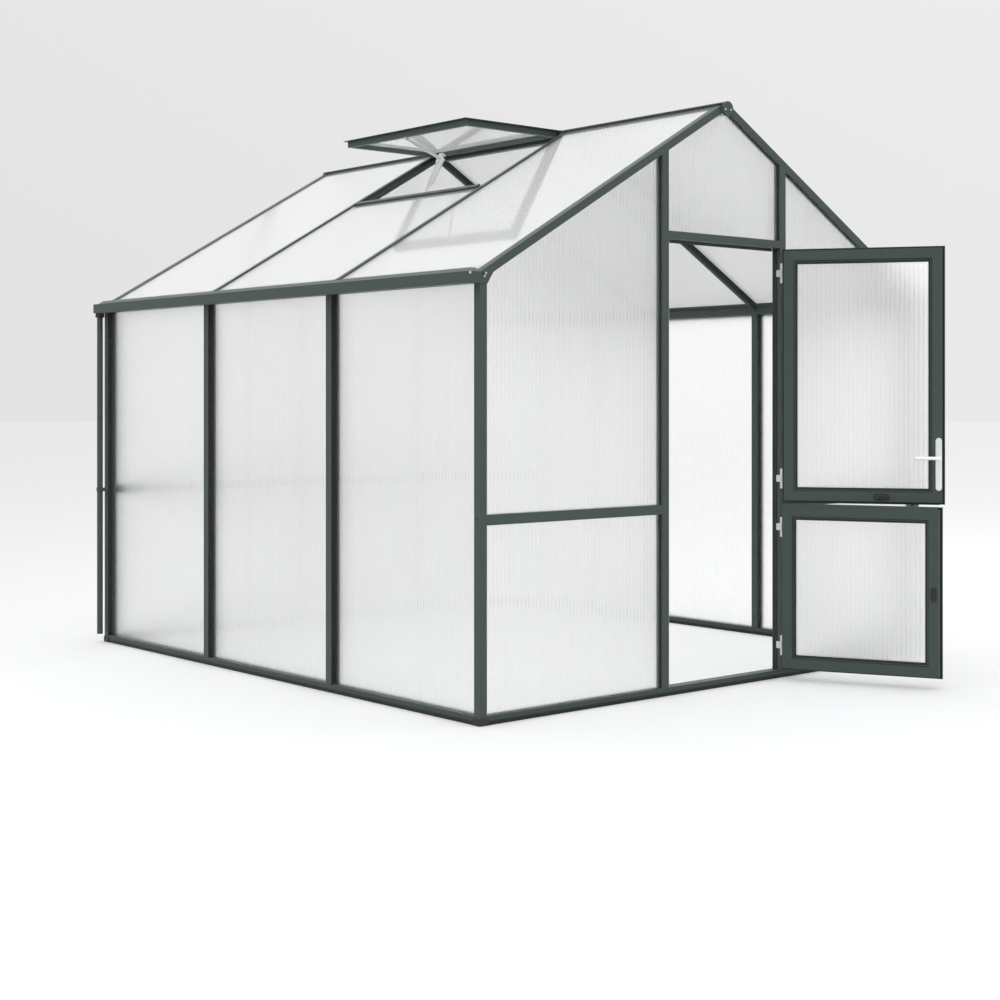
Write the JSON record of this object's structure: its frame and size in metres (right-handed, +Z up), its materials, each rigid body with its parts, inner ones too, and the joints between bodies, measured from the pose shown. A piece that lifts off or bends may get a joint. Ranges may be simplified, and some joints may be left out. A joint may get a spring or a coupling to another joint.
{
  "type": "garden greenhouse",
  "caption": "Walk-in garden greenhouse with an aluminium frame, multiwall glazing sheets, a two-leaf stable door, an open roof vent, eaves gutters and a downpipe.",
  "frame": {"origin": "middle of the underside of the front sill, at ground level under the doorway", "axes": "+X to the right seen from the front, +Y from the front gable into the house along the ridge, +Z up"},
  "size_m": [2.892, 3.6719, 2.53],
  "materials": {
    "frame_paint": "satin slate green powder coat on extruded aluminium",
    "multiwall_sheet": "clear ribbed multiwall polycarbonate, light passes and shapes blur",
    "bare_aluminium": "satin silver",
    "black_plastic": "matt black moulded plastic"
  },
  "bodies": {
    "house": {"sill_front": "frame_paint", "sill_rear": "frame_paint", "sill_left": "frame_paint", "sill_right": "frame_paint", "base_corner_caps": "black_plastic", "corner_posts_left": "frame_paint", "corner_posts_right": "frame_paint", "wall_posts_left": "frame_paint", "wall_posts_right": "frame_paint", "gutter_left": "frame_paint", "gutter_right": "frame_paint", "eave_corner_plates": "frame_paint", "downpipe": "frame_paint", "downpipe_clip": "frame_paint", "gable_rafters_front": "frame_paint", "gable_rafters_rear": "frame_paint", "roof_bars_left": "frame_paint", "roof_bars_right": "frame_paint", "ridge_beam": "frame_paint", "ridge_end_plates": "frame_paint", "door_jamb_latch": "frame_paint", "door_jamb_hinge": "frame_paint", "door_header": "frame_paint", "mid_rails_front": "frame_paint", "studs_rear": "frame_paint", "mid_rails_rear": "frame_paint", "wall_sheets_left": "multiwall_sheet", "wall_sheets_right": "multiwall_sheet", "roof_sheets_left": "multiwall_sheet", "roof_sheets_right": "multiwall_sheet", "gable_sheets_front": "multiwall_sheet", "gable_sheets_rear": "multiwall_sheet", "vent_sill": "frame_paint", "vent_frame": "frame_paint", "vent_sheet": "multiwall_sheet", "vent_opener": "bare_aluminium", "hinge_blocks": "bare_aluminium"},
    "upper_leaf": {"upper_leaf_frame": "frame_paint", "upper_leaf_sheet": "multiwall_sheet", "upper_leaf_hinges": "bare_aluminium", "handle_plates": "bare_aluminium", "leaf_bolt": "black_plastic"},
    "lower_leaf": {"lower_leaf_frame": "frame_paint", "lower_leaf_sheet": "multiwall_sheet", "lower_leaf_hinges": "bare_aluminium", "lower_leaf_catch": "black_plastic"},
    "lever": {"door_lever": "bare_aluminium"}
  },
  "joints": [
    {"name": "upper_leaf_hinge", "type": "hinge", "parent": "house", "child": "upper_leaf", "pos_m": [0.3575, -0.031, 1.3455], "axis": [0, 0, 1], "range_deg": [-124, 46]},
    {"name": "lower_leaf_hinge", "type": "hinge", "parent": "house", "child": "lower_leaf", "pos_m": [0.3575, -0.031, 0.4095], "axis": [0, 0, 1], "range_deg": [-116, 54]},
    {"name": "lever_turn", "type": "hinge", "parent": "upper_leaf", "child": "lever", "pos_m": [0.71593, -0.61067, 0.987], "axis": [-0.829, -0.5592, 0], "range_deg": [0, 40], "stiffness_Nm_per_rad": 1.5, "springref_deg": -22.92}
  ]
}
